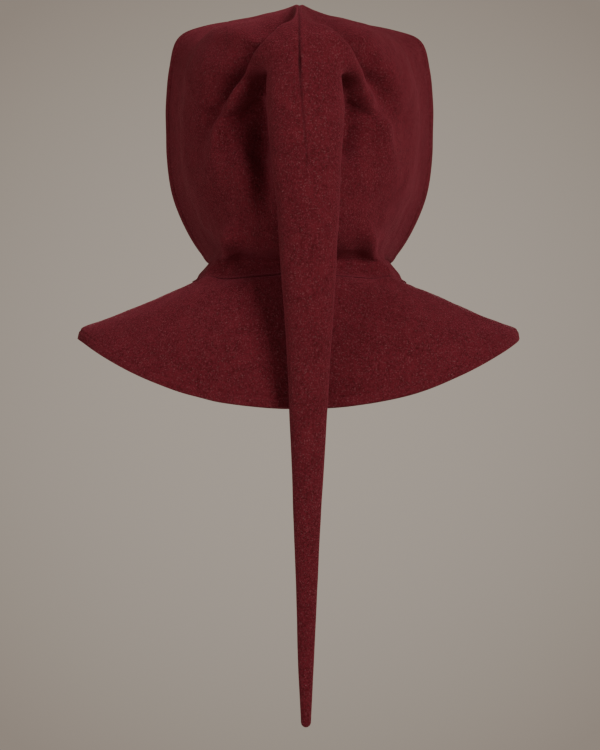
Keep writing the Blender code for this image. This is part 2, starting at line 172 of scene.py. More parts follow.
# The turned hem at the face, in millimetres from its edge
HEM_FOLD = 8.0
HEM_SLOPE = 1.5
HEM_THIN_SLOPE = 1.0
HEM_SWELL = 0.6
HEM_STITCH_DEPTH = 0.3
HEM_STITCH_HALF_WIDTH = 1.3

# The cloth's edges are rounded, and it is smoothed near the tail's root but not on its seams.
EDGE_ROUND = 1.5
EDGE_STEPS = 3
EDGE_ANGLE = 80
ROOT_EASED = (5.0, 20.0)
SEAM_KEPT = (2.0, 7.0)
EASE_STEPS = 14
EASE_SHARE = 0.5
LEAST_EASE, LEAST_NEAR = 0.01, 0.02

# Points closer than WELD become one, and those nearer the middle than ON_MIDDLE lie on it, in
# millimetres. Rows closer than SAME_ROW are the same, and TINY keeps a division from 0.
WELD = 0.02
ON_MIDDLE = 1e-6
SAME_ROW = 0.001
TINY = 1e-9
# How many points the lines, the folds' lines and the root's ring are worked out with
LINE_POINTS = 301
FOLD_POINTS = 61
RING_POINTS = 49

# Soft unevenness of the cloth: its waves run in this many directions, and their sizes vary.
WAVE_DIRECTIONS = 8
WAVE_SIZE_SHARES = (0.7, 1.4)


def smooth_step(value, low, high):
    """A soft change: 0 up to low, 1 from high, between them 3t^2 - 2t^3 of the share t."""
    share = np.clip((value - low) / (high - low), 0, 1)
    return share * share * (3 - 2 * share)


def bump(distance, half_width):
    """A bell of height 1: e to the power of minus half the square of distance by half_width."""
    return np.exp(-((distance / half_width) ** 2) / 2)


def filled_in(table, at):
    """The table's columns as smooth functions of its first one, read at each place in at.

    Between two rows it is the cubic with both values and both slopes, where a row's slope is
    that of the parabola through it and its neighbours.
    """
    knots, values = np.array(table, float)[:, 0], np.array(table, float)[:, 1:]
    slopes = np.gradient(values, knots, axis=0)
    index = np.clip(np.searchsorted(knots, at, side="right") - 1, 0, len(knots) - 2)
    width = (knots[index + 1] - knots[index])[:, None]
    t = (at - knots[index])[:, None] / width
    return (
        (2 * t**3 - 3 * t**2 + 1) * values[index]
        + (t**3 - 2 * t**2 + t) * slopes[index] * width
        + (3 * t**2 - 2 * t**3) * values[index + 1]
        + (t**3 - t**2) * slopes[index + 1] * width
    )


def tail_ring(angle, section, held=0.0):
    """Round the tail: its middle plus half_width times sine across, half its depth times cosine.

    angle is an array, 0 on the high side. held 1 keeps the high and low points on the hood's
    middle seam.
    """
    low_y, low_z, high_y, high_z, half_width, middle_x = section
    return np.stack(
        np.broadcast_arrays(
            middle_x * (1 - held * np.cos(angle) ** 2) + half_width * np.sin(angle),
            (high_y + low_y) / 2 + (high_y - low_y) / 2 * np.cos(angle),
            (high_z + low_z) / 2 + (high_z - low_z) / 2 * np.cos(angle),
        ),
        axis=-1,
    )


def garment_lines(rows, side):
    """Lines from the front round the side to the back, one for each place in rows.

    From front to side each is part ellipse (where closed) and part parabola (where open).
    From side to back it is a superellipse, mixed by cone with one that flares into the tail.
    From the tail's root up, the lines end on the root's ring.
    """
    table = [(s.row,) + tuple(s[2:]) for s in SECTIONS]
    closed, fx, fy, fz, sx, sy, sz, by, bz, full, cone, lean = filled_in(table, rows).T[..., None]
    fx = np.where(rows[:, None] > ROW["throat"], np.maximum(fx, 0), 0)
    fz, sz = fz + side * lean, sz + side * lean
    on_root = rows[:, None] >= ROW["root_low"]
    turn = side * np.pi * (ROW["crown"] - rows) / (ROW["crown"] - ROW["root_low"])
    root = tail_ring(turn, TAIL[0][1:], held=1.0)
    bx = np.where(on_root, side * root[:, :1], 0)
    by = np.where(on_root, root[:, 1:2], by)
    bz = np.where(on_root, root[:, 2:], bz)
    w = np.linspace(1, 0, LINE_POINTS)
    arc = w * np.pi / 2
    front = np.stack(
        [
            sx + (fx - sx) * (closed * (1 - np.cos(arc)) + (1 - closed) * w**2),
            sy + (fy - sy) * (closed * np.sin(arc) + (1 - closed) * w),
            sz + (fz - sz) * np.sin(arc) ** 2,
        ],
        axis=-1,
    )
    arc = arc[::-1][1:]
    cosine = np.clip(np.cos(arc), 0, 1)
    power = 2 / full
    back = np.stack(
        [
            bx + (sx - bx) * ((1 - cone) * cosine**power + cone * cosine**2),
            sy + (by - sy) * np.sin(arc) ** power,
            sz + (bz - sz) * ((1 - cone) * np.sin(arc) ** 2 + cone * (1 - cosine)),
        ],
        axis=-1,
    )
    return np.concatenate([front, back], axis=1)


def spread_out(lines, from_front, from_back, between):
    """Each line's points at set lengths from its front and back, and evenly between those."""
    found = []
    for line in lines:
        length = np.concatenate([[0], np.cumsum(np.linalg.norm(np.diff(line, axis=0), axis=1))])
        middle = np.linspace(from_front[-1], length[-1] - from_back[-1], between + 2)[1:-1]
        wanted = np.concatenate([from_front, middle, length[-1] - np.array(from_back[::-1])])
        found.append(np.stack([np.interp(wanted, length, line[:, axis]) for axis in range(3)], 1))
    return np.array(found)


def outward(grid, side):
    """The unit normals of a grid: the cross product of its two directions."""
    normal = np.cross(np.gradient(grid, axis=1), np.gradient(grid, axis=0)) * side
    normal[np.abs(grid[:, :, 0]) < ON_MIDDLE, 0] = 0
    return normal / np.maximum(np.linalg.norm(normal, axis=2, keepdims=True), TINY)


def fold_lift(x, z):
    """The sum over the folds of lift times a bell round the fold's line, fading at its ends.

    The line is the quadratic curve from start to end whose handle is the bend.
    """
    t = np.linspace(0, 1, FOLD_POINTS)
    fade = smooth_step(t, *START_FADE) * smooth_step(1 - t, *END_FADE)
    total = np.zeros_like(x)
    for fold in FOLDS:
        line_x = (1 - t) ** 2 * fold.start_x + 2 * t * (1 - t) * fold.bend_x + t**2 * fold.end_x
        line_z = (1 - t) ** 2 * fold.start_z + 2 * t * (1 - t) * fold.bend_z + t**2 * fold.end_z
        away = np.hypot(x[..., None] - line_x, z[..., None] - line_z)
        total += fold.lift * (fade * bump(away, fold.width)).max(axis=-1)
    return total


def root_distance(points):
    """How far each point is from the nearest point of the ring on which the tail starts."""
    ring = tail_ring(np.linspace(0, 2 * np.pi, RING_POINTS), TAIL[0][1:], held=1.0)
    return np.linalg.norm(points[..., None, :] - ring, axis=-1).min(axis=-1)


def folded(grid, side):
    """The grid with each point moved along its normal by the folds' lift.

    The folds fade out over the top, towards the sides' front and next to the tail's root.
    """
    normal = outward(grid, side)
    upward = smooth_step(normal[:, :, 2], *TOP_FACING)
    side_share = smooth_step(grid[:, :, 1], *SIDE_FOLDS)
    top_share = smooth_step(grid[:, :, 1], *TOP_FOLDS)
    lift = fold_lift(grid[:, :, 0], grid[:, :, 2])
    lift *= side_share * (1 - upward) + top_share * upward
    lift *= smooth_step(root_distance(grid), *ROOT_FADE)
    lift *= smooth_step(np.abs(grid[:, :, 0]), *MIDDLE_FADE)
    return grid + normal * lift[:, :, None]


def lengths_along(grid, axis):
    """The length of cloth from the start of each grid line to each of its points."""
    step = np.linalg.norm(np.diff(grid, axis=axis), axis=2)
    start = np.zeros_like(np.take(step, [0], axis=axis))
    return np.concatenate([start, np.cumsum(step, axis=axis)], axis=axis)


def seam_profile(distance):
    """The cloth beside a seam: a groove on the line and a low soft shoulder next to it."""
    from_shoulder = distance - SHOULDER_PLACE * SEAM_HALF_WIDTH
    shoulder = SEAM_SHOULDER * bump(from_shoulder, SHOULDER_HALF_WIDTH * SEAM_HALF_WIDTH)
    return shoulder - SEAM_DEPTH * bump(distance, SEAM_HALF_WIDTH)


def seam_share(distance):
    """How much a seam's dark line shows at that distance: a narrow bell. The line is partly
    thread and partly painted shade of the seam's groove.
    """
    return bump(distance, SEAM_LINE_HALF_WIDTH)


def hem_profile(distance):
    """The turned hem: raised by HEM_SWELL up to its stitch line, where it is drawn in."""
    raised = HEM_SWELL * (1 - smooth_step(distance, HEM_FOLD - HEM_SLOPE, HEM_FOLD + HEM_SLOPE))
    return raised - HEM_STITCH_DEPTH * bump(distance - HEM_FOLD, HEM_STITCH_HALF_WIDTH)


def waves(points, seed, sizes, heights):
    """Soft unevenness: for each size and height, a sum of sines along random directions."""
    random = np.random.default_rng(seed)
    total = np.zeros(points.shape[:-1])
    for size, height in zip(sizes, heights):
        way = random.normal(size=(WAVE_DIRECTIONS, 3))
        way *= 2 * np.pi / size / np.linalg.norm(way, axis=1, keepdims=True)
        way *= random.uniform(*WAVE_SIZE_SHARES, size=(WAVE_DIRECTIONS, 1))
        start = random.uniform(0, 2 * np.pi, WAVE_DIRECTIONS)
        total += height * np.sin(points @ way.T + start).sum(axis=-1) / (WAVE_DIRECTIONS / 2)
    return total


def cloth_object(name, grids, edge_round=EDGE_ROUND):
    """One object from grids of points, welded where they meet.

    Each grid comes with its hem share and seam share at every point, whether it wraps round,
    and whether its faces are turned over.
    """
    points, faces, hems, seams, start = [], [], [], [], 0
    for grid, hem, seam, wraps, flipped in grids:
        height, width = grid.shape[:2]
        number = start + np.arange(height * width).reshape(height, width)
        if wraps:
            number = np.concatenate([number, number[:, :1]], axis=1)
        quad = np.stack(
            [number[:-1, :-1], number[:-1, 1:], number[1:, 1:], number[1:, :-1]], axis=-1
        ).reshape(-1, 4)
        faces.append(quad[:, ::-1] if flipped else quad)
        points.append(grid.reshape(-1, 3))
        hems.append(hem.reshape(-1))
        seams.append(seam.reshape(-1))
        start += height * width
    points, faces, hems = np.concatenate(points), np.concatenate(faces), np.concatenate(hems)
    key = np.round(points / WELD).astype(np.int64)
    _, first, same = np.unique(key, axis=0, return_index=True, return_inverse=True)
    points, hems, faces = points[first], hems[first], same.reshape(-1)[faces]
    seams = np.concatenate(seams)[first]
    faces = [list(dict.fromkeys(face)) for face in faces.tolist()]
    mesh = bpy.data.meshes.new(name)
    mesh.from_pydata((points * MM).tolist(), [], [face for face in faces if len(face) > 2])
    shares = mesh.attributes.new("seam", "FLOAT", "POINT")
    shares.data.foreach_set("value", seams.astype(np.float32))
    mesh.validate()
    mesh.shade_smooth()
    made = bpy.data.objects.new(name, mesh)
    bpy.context.scene.collection.objects.link(made)
    group = made.vertex_groups.new(name="thickness")
    for share in np.unique(np.round(hems, 2)):
        at = np.flatnonzero(np.round(hems, 2) == share).tolist()
        group.add(at, float((CLOTH + share * (HEM - CLOTH)) / HEM), "REPLACE")
    soft = made.vertex_groups.new(name="eased")
    near = 1 - smooth_step(root_distance(points), *ROOT_EASED)
    near *= smooth_step(np.abs(points[:, 0]), *SEAM_KEPT)
    for share in np.unique(np.round(near[near > LEAST_NEAR], 1)):
        at = np.flatnonzero(np.round(near, 1) == share).tolist()
        soft.add(at, max(float(share), LEAST_EASE), "REPLACE")
    if near.max() > LEAST_NEAR:
        ease = made.modifiers.new("eased root", "SMOOTH")
        ease.factor, ease.iterations, ease.vertex_group = EASE_SHARE, EASE_STEPS, "eased"
    solid = made.modifiers.new("cloth", "SOLIDIFY")
    solid.thickness = HEM * MM
    solid.offset = -1
    solid.vertex_group = "thickness"
    solid.use_quality_normals = True
    bevel = made.modifiers.new("turned edge", "BEVEL")
    bevel.width = edge_round * MM
    bevel.segments = EDGE_STEPS
    bevel.limit_method = "ANGLE"
    bevel.angle_limit = radians(EDGE_ANGLE)
    return made


# Rows and columns of the grids: closer together beside the seams and at the hems
NEAR_SEAM = [0, 0.7, 1.4, 2.2, 3.2, 4.5, 6.0, 8.0]
NEAR_HEM = [0, 1.2, 2.6, 4.2, 5.8, 7.0, 8.0, 9.0, 10.2, 12.0]
BETWEEN = 78
ROWS_OVER_NECK = [0, 0.08, 0.17, 0.28, 0.42, 0.6, 0.8]
ROWS_UNDER_CROWN = [1.0, 0.8, 0.6, 0.45, 0.34, 0.25, 0.18, 0.12, 0.07, 0.035, 0]
ROW_STEP = 0.2
hood_rows = np.concatenate(
    [
        ROW["neck_seam"] + np.array(ROWS_OVER_NECK),
        np.arange(ROW["nape_flare"], ROW["crown"] - 1, ROW_STEP),
        ROW["crown"] - np.array(ROWS_UNDER_CROWN),
    ]
)
# The rows over which the face edge opens, and over which the nape seam ends at the tail's root
FACE_OPENS = (ROW["throat"] + 0.2, ROW["lip"] + 0.5)
NAPE_ENDS = (ROW["under_root"] - 1, ROW["root_low"])

# The hood's unevenness: a seed, the waves' sizes and their heights, in millimetres. It begins
# this far from the seams and from the face edge.
HOOD_WAVES = (4, (70, 34, 17), (0.9, 0.5, 0.22))
UNEVEN_FROM_SEAM = (0.0, 12.0)
UNEVEN_FROM_FACE = (6.0, 40.0)


def hood_half(side):
    """One half of the hood with its hem and seam shares.

    Its points are moved by the folds, and then along the normals by seams, hem and unevenness.
    """
    grid = spread_out(garment_lines(hood_rows, side), NEAR_HEM, NEAR_SEAM, BETWEEN)
    grid[-1, :, 0] = 0
    grid[:, :, 0] *= side
    grid = folded(grid, side)
    normal = outward(grid, side)
    from_front = lengths_along(grid, 1)
    from_back = from_front[:, -1:] - from_front
    up = lengths_along(grid, 0)
    from_top, from_neck = up[-1] - up, up
    open_face = smooth_step(hood_rows, *FACE_OPENS)[:, None]
    hem = 1 - smooth_step(from_front, HEM_FOLD - HEM_THIN_SLOPE, HEM_FOLD + HEM_THIN_SLOPE)
    hem = hem * open_face
    lift = hem_profile(from_front) * open_face
    nape = 1 - smooth_step(hood_rows, *NAPE_ENDS)[:, None]
    lift += seam_profile(from_back) * nape
    lift += seam_profile(from_top)
    lift += seam_profile(from_front) * (1 - open_face)
    neck_lip = 1 - smooth_step(from_neck, *NECK_LIP_END)
    neck_lip -= bump(from_neck - NECK_LIP_DIP, NECK_LIP_DIP_HALF_WIDTH)
    lift += NECK_LIP * neck_lip
    uneven = waves(grid, *HOOD_WAVES) * smooth_step(from_front, *UNEVEN_FROM_FACE)
    lift += uneven * smooth_step(np.minimum(from_back, from_top), *UNEVEN_FROM_SEAM)
    # Dark seam lines: partly thread, partly painted shade of the seam grooves
    seam = seam_share(from_back) * nape + seam_share(from_top)
    seam += seam_share(from_front) * (1 - open_face) + NECK_SEAM_SHADE * seam_share(from_neck)
    return grid + normal * lift[:, :, None], hem, np.clip(seam, 0, 1)


# The halves share their points at the crown, the nape and the closed throat.
left_half, left_hem, left_seam = hood_half(1)
right_half, right_hem, right_seam = hood_half(-1)
middle = (left_half[-1] + right_half[-1]) / 2
left_half[-1] = right_half[-1] = middle * (0, 1, 1)
for half in (left_half, right_half):
    half[:, -1, 0] = np.where(hood_rows < ROW["root_low"] + SAME_ROW, 0, half[:, -1, 0])
nape_rows = hood_rows <= ROW["root_low"] + SAME_ROW
shared = (left_half[nape_rows, -1] + right_half[nape_rows, -1]) / 2
left_half[nape_rows, -1] = right_half[nape_rows, -1] = shared
closed_rows = hood_rows <= ROW["throat"] + SAME_ROW
shared = (left_half[closed_rows, 0] + right_half[closed_rows, 0]) / 2
left_half[closed_rows, 0] = right_half[closed_rows, 0] = shared * (0, 1, 1)

# The tail starts on the hood's own edge and takes up its sections' ovals within these steps of
# TAIL. Its high point leaves the hood's middle line over a longer way, as the tail hangs a little
# to one side.
ROOT_TO_TIP = 118
OWN_OVAL_STEPS = (0.0, 1.5)
SEAM_DRIFT_STEPS = (0.0, 5.0)

# The seam on the high side is deepest at the root and fades in two parts, and the one below
# begins under the root, all in millimetres down the tail.
HIGH_SEAM_FADES = ((0.0, 50.0), (60.0, 125.0))
LOW_SEAM_BEGINS = (0.0, 20.0)
# How much of the lower seam's dark line shows: partly thread, partly painted shade
LOW_SEAM_SHADE = 0.7
TAIL_WAVES = (7, (60, 26, 13), (0.6, 0.3, 0.15))
TAIL_UNEVEN_BEGINS = (0.0, 25.0)
TIP_RINGS = 9

root_rows = hood_rows > ROW["root_low"] - SAME_ROW
root_edge = np.concatenate([left_half[root_rows, -1][::-1], right_half[root_rows, -1][1:-1]])
turns = np.pi * (ROW["crown"] - hood_rows[root_rows]) / (ROW["crown"] - ROW["root_low"])
tail_angle = np.concatenate([turns[::-1], -turns[1:-1]])
tail_steps = np.linspace(0, TAIL[-1].step, ROOT_TO_TIP)
tail_table = filled_in([tuple(s) for s in TAIL], tail_steps)
held = (1 - smooth_step(tail_steps, *SEAM_DRIFT_STEPS))[:, None]
tail = tail_ring(tail_angle[None, :], [column[:, None] for column in tail_table.T], held)
tail += (root_edge - tail[0]) * (1 - smooth_step(tail_steps, *OWN_OVAL_STEPS))[:, None, None]
tail_down = lengths_along(tail, 0)
across = np.linalg.norm(np.diff(np.concatenate([tail, tail[:, :1]], axis=1), axis=1), axis=2)
from_high = np.cumsum(np.concatenate([0 * across[:, :1], across[:, :-1]], axis=1), axis=1)
from_high = np.minimum(from_high, across.sum(axis=1, keepdims=True) - from_high)
from_low = across.sum(axis=1, keepdims=True) / 2 - from_high
round_the_tail = np.roll(tail, -1, axis=1) - np.roll(tail, 1, axis=1)
tail_normal = np.cross(np.gradient(tail, axis=0), round_the_tail)
tail_normal /= np.maximum(np.linalg.norm(tail_normal, axis=2, keepdims=True), TINY)
tail_normal *= np.sign(((tail - tail.mean(axis=1, keepdims=True)) * tail_normal).sum())
seam_fades = 1 - sum(smooth_step(tail_down, *fade) for fade in HIGH_SEAM_FADES) / 2
tail_lift = seam_profile(from_high) * seam_fades
tail_lift += seam_profile(from_low) * smooth_step(tail_down, *LOW_SEAM_BEGINS)
half_widths = tail_table[:, TailSection._fields.index("half_width") - 1, None]
thinner = half_widths / TAIL[0].half_width
tail_lift += waves(tail, *TAIL_WAVES) * smooth_step(tail_down, *TAIL_UNEVEN_BEGINS) * thinner
tail_lift *= np.where(tail_down > 0, 1, 0)
tail = tail + tail_normal * tail_lift[:, :, None]
# The tail's dark seam lines: partly thread, partly painted shade of the seam grooves
tail_seam = seam_share(from_high) * seam_fades + LOW_SEAM_SHADE * seam_share(from_low)

# The rounded tip: rings that shrink by a cosine and sink by a sine
tip_turn = np.linspace(0, np.pi / 2, TIP_RINGS)[1:, None, None]
tip_middle = tail[-1].mean(axis=0)
tip = tip_middle + (tail[-1] - tip_middle) * np.cos(tip_turn)
tip[:, :, 2] -= TIP_LENGTH * np.sin(tip_turn[..., 0])
tail = np.concatenate([tail, tip])
tail_seam = np.concatenate([tail_seam, np.zeros(tip.shape[:2])])

hood = cloth_object(
    "hood",
    [
        (left_half, left_hem, left_seam, False, False),
        (right_half, right_hem, right_seam, False, True),
        (tail, np.zeros(tail.shape[:2]), tail_seam, True, False),
    ],
)

# Wool
# Burgundy fulled wool: a matt felted face with a short nap. Lighter and pinker fibres are
# blended into the dark red, in clumps and soft patches. The seams show as dark lines: partly
# dark thread, partly painted shade of the seam grooves.
WOOL_DARK = (0.050, 0.0010, 0.0028, 1.0)
WOOL_RED = (0.111, 0.0085, 0.0165, 1.0)
WOOL_WARM = (0.116, 0.0090, 0.0160, 1.0)
FIBRE_PINK = (0.42, 0.19, 0.20, 1.0)
FIBRE_SHARE = 0.30
# The seams' dark line colour and how strongly it shows: partly thread, partly painted shade
SEAM_THREAD_AND_SHADE = (0.012, 0.0006, 0.0012, 1.0)
SEAM_SHADE = 0.7
BLACK, WHITE = (0, 0, 0, 1), (1, 1, 1, 1)
# How far the fibres are bent from straight cells, in metres, how much of a fleck shows without
# a fibre, and how high clumps and fibres stand next to the matted ground
FIBRE_BEND = 0.006
FLECK_SHARE = 0.45
CLUMP_HEIGHT = 0.55
FIBRE_HEIGHT = 0.35
CLOTH_SURFACE = {
    "Sheen Weight": 0.25,
    "Sheen Roughness": 0.45,
    "Sheen Tint": (0.85, 0.12, 0.19, 1.0),
    "Specular IOR Level": 0.18,
}


def node(tree, kind, place, **settings):
    """A node of that kind at a place in the tree, with its settings and inputs filled in."""
    made = tree.nodes.new(kind)
    made.location = place
    for name, value in settings.items():
        if name in made.inputs:
            made.inputs[name].default_value = value
        else:
            setattr(made, name, value)
    return made


def ramp(tree, place, stops):
    """A colour ramp with these two (position, colour) stops."""
    made = node(tree, "ShaderNodeValToRGB", place)
    for element, (position, colour) in zip(made.color_ramp.elements, stops):
        element.position, element.color = position, colour
    return made


def mapped(tree, place, from_range, to_range):
    """A node that maps one range of values to another, and holds them within it."""
    names = ("From Min", "From Max", "To Min", "To Max")
    return node(tree, "ShaderNodeMapRange", place, **dict(zip(names, (*from_range, *to_range))))


def fulled_wool_group():
    """The nap of fulled wool: colour and height from matted fibres, clumps and soft patches."""
    tree = bpy.data.node_groups.new("fulled_wool", "ShaderNodeTree")
    for name, kind, value in (
        ("Dark", "NodeSocketColor", WOOL_DARK),
        ("Red", "NodeSocketColor", WOOL_RED),
        ("Warm", "NodeSocketColor", WOOL_WARM),
        ("Fibre", "NodeSocketColor", FIBRE_PINK),
        ("Fibre share", "NodeSocketFloat", FIBRE_SHARE),
    ):
        tree.interface.new_socket(name, in_out="INPUT", socket_type=kind).default_value = value
    for name, kind in (
        ("Color", "NodeSocketColor"),
        ("Height", "NodeSocketFloat"),
        ("Roughness", "NodeSocketFloat"),
    ):
        tree.interface.new_socket(name, in_out="OUTPUT", socket_type=kind)
    given = node(tree, "NodeGroupInput", (-1200, 0))
    out = node(tree, "NodeGroupOutput", (900, 0))
    link = tree.links.new
    place = node(tree, "ShaderNodeTexCoord", (-1400, -200))
    bend = node(tree, "ShaderNodeTexNoise", (-1200, -300), Scale=260.0, Detail=2.0)
    bent = node(tree, "ShaderNodeVectorMath", (-1000, -300), operation="MULTIPLY_ADD")
    bent.inputs[1].default_value = (FIBRE_BEND, FIBRE_BEND, FIBRE_BEND)
    link(place.outputs["Object"], bend.inputs["Vector"])
    link(bend.outputs["Color"], bent.inputs[0])
    link(place.outputs["Object"], bent.inputs[2])
    noise = "ShaderNodeTexNoise"
    patches = node(tree, noise, (-700, 400), Scale=60.0, Detail=5.0, Roughness=0.7)
    clumps = node(tree, noise, (-700, 150), Scale=480.0, Detail=4.0, Roughness=0.78)
    matted = node(tree, noise, (-700, -100), Scale=760.0, Detail=2.0, Roughness=0.6)
    for texture in (patches, clumps, matted):
        link(place.outputs["Object"], texture.inputs["Vector"])
    fibres = node(tree, "ShaderNodeTexVoronoi", (-700, -350), Scale=420.0)
    fibres.feature = "DISTANCE_TO_EDGE"
    link(bent.outputs[0], fibres.inputs["Vector"])
    strands = mapped(tree, (-480, -350), (0.0, 0.055), (1.0, 0.0))
    link(fibres.outputs["Distance"], strands.inputs["Value"])
    shade = ramp(tree, (-450, 200), [(0.36, BLACK), (0.64, WHITE)])
    link(clumps.outputs["Fac"], shade.inputs["Fac"])
    low = node(tree, "ShaderNodeMix", (-150, 300), data_type="RGBA")
    link(shade.outputs["Color"], low.inputs["Factor"])
    link(given.outputs["Dark"], low.inputs["A"])
    link(given.outputs["Red"], low.inputs["B"])
    patch = mapped(tree, (-450, 450), (0.42, 0.66), (0.0, 0.6))
    link(patches.outputs["Fac"], patch.inputs["Value"])
    warm = node(tree, "ShaderNodeMix", (50, 300), data_type="RGBA")
    link(patch.outputs["Result"], warm.inputs["Factor"])
    link(low.outputs["Result"], warm.inputs["A"])
    link(given.outputs["Warm"], warm.inputs["B"])
    flecks = mapped(tree, (-450, -100), (0.55, 0.72), (0.0, 1.0))
    link(matted.outputs["Fac"], flecks.inputs["Value"])
    lit = node(tree, "ShaderNodeMath", (-250, -200), operation="MULTIPLY")
    link(flecks.outputs["Result"], lit.inputs[0])
    link(strands.outputs["Result"], lit.inputs[1])
    spread = node(tree, "ShaderNodeMath", (-50, -150), operation="MULTIPLY_ADD")
    link(flecks.outputs["Result"], spread.inputs[0])
    spread.inputs[1].default_value = FLECK_SHARE
    link(lit.outputs[0], spread.inputs[2])
    share = node(tree, "ShaderNodeMath", (150, -100), operation="MULTIPLY", use_clamp=True)
    link(spread.outputs[0], share.inputs[0])
    link(given.outputs["Fibre share"], share.inputs[1])
    napped = node(tree, "ShaderNodeMix", (350, 200), data_type="RGBA")
    link(share.outputs[0], napped.inputs["Factor"])
    link(warm.outputs["Result"], napped.inputs["A"])
    link(given.outputs["Fibre"], napped.inputs["B"])
    link(napped.outputs["Result"], out.inputs["Color"])
    high = node(tree, "ShaderNodeMath", (150, -400), operation="MULTIPLY_ADD")
    link(clumps.outputs["Fac"], high.inputs[0])
    high.inputs[1].default_value = CLUMP_HEIGHT
    link(matted.outputs["Fac"], high.inputs[2])
    higher = node(tree, "ShaderNodeMath", (350, -400), operation="MULTIPLY_ADD")
    link(strands.outputs["Result"], higher.inputs[0])
    higher.inputs[1].default_value = FIBRE_HEIGHT
    link(high.outputs[0], higher.inputs[2])
    link(higher.outputs[0], out.inputs["Height"])
    rough = mapped(tree, (350, -650), (0.0, 1.0), (0.86, 1.0))
    link(clumps.outputs["Fac"], rough.inputs["Value"])
    link(rough.outputs["Result"], out.inputs["Roughness"])
    return tree


fulled_wool = fulled_wool_group()


def wool_material(name):
    """Fulled wool on a matt shader with a soft sheen: the group's height drives the bump."""
    made = bpy.data.materials.new(name)
    made.use_nodes = True
    tree = made.node_tree
    shader = tree.nodes["Principled BSDF"]
    for socket, value in CLOTH_SURFACE.items():
        shader.inputs[socket].default_value = value
    nap = node(tree, "ShaderNodeGroup", (-600, 0), node_tree=fulled_wool)
    relief = node(tree, "ShaderNodeBump", (-300, -250), Strength=0.75, Distance=0.0011)
    link = tree.links.new
    # The seam share darkens the colour into a line: partly dark thread, partly painted shade of the
    # groove
    seam = node(tree, "ShaderNodeAttribute", (-600, 300), attribute_name="seam")
    depth = node(tree, "ShaderNodeMath", (-420, 300), operation="MULTIPLY", use_clamp=True)
    depth.inputs[1].default_value = SEAM_SHADE
    thread_and_shade = node(tree, "ShaderNodeMix", (-220, 200), data_type="RGBA")
    thread_and_shade.inputs["B"].default_value = SEAM_THREAD_AND_SHADE
    link(seam.outputs["Fac"], depth.inputs[0])
    link(depth.outputs[0], thread_and_shade.inputs["Factor"])
    link(nap.outputs["Color"], thread_and_shade.inputs["A"])
    link(thread_and_shade.outputs["Result"], shader.inputs["Base Color"])
    link(nap.outputs["Roughness"], shader.inputs["Roughness"])
    link(nap.outputs["Height"], relief.inputs["Height"])
    link(relief.outputs["Normal"], shader.inputs["Normal"])
    return made


hood.data.materials.append(wool_material("hood_wool"))
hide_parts("hood_left", "hood_right", "liripipe")
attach(hood, "root")

# Shoulder cape
# One shaped ring of the same wool, sewn to the hood at the neck. It spreads over the shoulders
# and its foot is turned in to a deep rounded hem.
CAPE_HEM = 7.5
CAPE_HEM_SLOPE, CAPE_HEM_FOOT = 1.5, 2.0
CAPE_HEM_SWELL = 1.3 * HEM_SWELL
CAPE_STITCH_DEPTH, CAPE_STITCH_HALF_WIDTH = 0.5, 1.6
CAPE_EDGE_ROUND = 1.9
# Next to the neck seam the cape rises to a low ridge and then dips into the seam.
NECK_RIDGE, NECK_RIDGE_PLACE, NECK_RIDGE_HALF_WIDTH = 0.5, 5.0, 2.5
NECK_DIP, NECK_DIP_END = 0.6, 3.0
CAPE_WAVES = (9, (90, 45, 20), (0.8, 0.45, 0.2))
CAPE_MIDDLE_FREE = (0.0, 8.0)

CAPE_ENDS = [0, 3, 6]
CAPE_BETWEEN = 110
CAPE_HEM_ROWS = [0, 0.1, 0.25, 0.45, 0.7, 0.9, 1.1, 1.35, 1.6]
CAPE_NECK_ROWS = [7.9, 7.97, ROW["neck_seam"]]
CAPE_ROW_STEP = 0.12
cape_rows = np.concatenate(
    [CAPE_HEM_ROWS, np.arange(1.8, CAPE_NECK_ROWS[0], CAPE_ROW_STEP), CAPE_NECK_ROWS]
)


def cape_half(side):
    """One half of the cape, from the hem up to the neck seam, with its hem and seam shares."""
    grid = spread_out(garment_lines(cape_rows, side), CAPE_ENDS, CAPE_ENDS, CAPE_BETWEEN)
    grid[:, :, 0] *= side
    grid = folded(grid, side)
    normal = outward(grid, side)
    up = lengths_along(grid, 0)
    from_neck = up[-1] - up
    hem = 1 - smooth_step(up, CAPE_HEM - HEM_THIN_SLOPE, CAPE_HEM + HEM_THIN_SLOPE)
    past_hem = smooth_step(up, CAPE_HEM - CAPE_HEM_SLOPE, CAPE_HEM + CAPE_HEM_FOOT)
    lift = CAPE_HEM_SWELL * (1 - past_hem)
    lift -= CAPE_STITCH_DEPTH * bump(up - CAPE_HEM - HEM_THIN_SLOPE, CAPE_STITCH_HALF_WIDTH)
    lift += NECK_RIDGE * bump(from_neck - NECK_RIDGE_PLACE, NECK_RIDGE_HALF_WIDTH)
    lift -= NECK_DIP * (1 - smooth_step(from_neck, 0, NECK_DIP_END))
    lift += waves(grid, *CAPE_WAVES) * smooth_step(np.abs(grid[:, :, 0]), *CAPE_MIDDLE_FREE)
    # The neck seam's dark line: partly thread, partly painted shade of its groove
    seam = NECK_SEAM_SHADE * seam_share(from_neck)
    return grid + normal * lift[:, :, None], hem, seam


left_cape, left_cape_hem, left_cape_seam = cape_half(1)
right_cape, right_cape_hem, right_cape_seam = cape_half(-1)
for column in (0, -1):
    shared = (left_cape[:, column] + right_cape[:, column]) / 2
    left_cape[:, column] = right_cape[:, column] = shared * (0, 1, 1)
cape = cloth_object(
    "shoulder_cape",
    [
        (left_cape, left_cape_hem, left_cape_seam, False, False),
        (right_cape, right_cape_hem, right_cape_seam, False, True),
    ],
    edge_round=CAPE_EDGE_ROUND,
)
cape.data.materials.append(wool_material("cape_wool"))
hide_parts("cape")
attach(cape, "root")

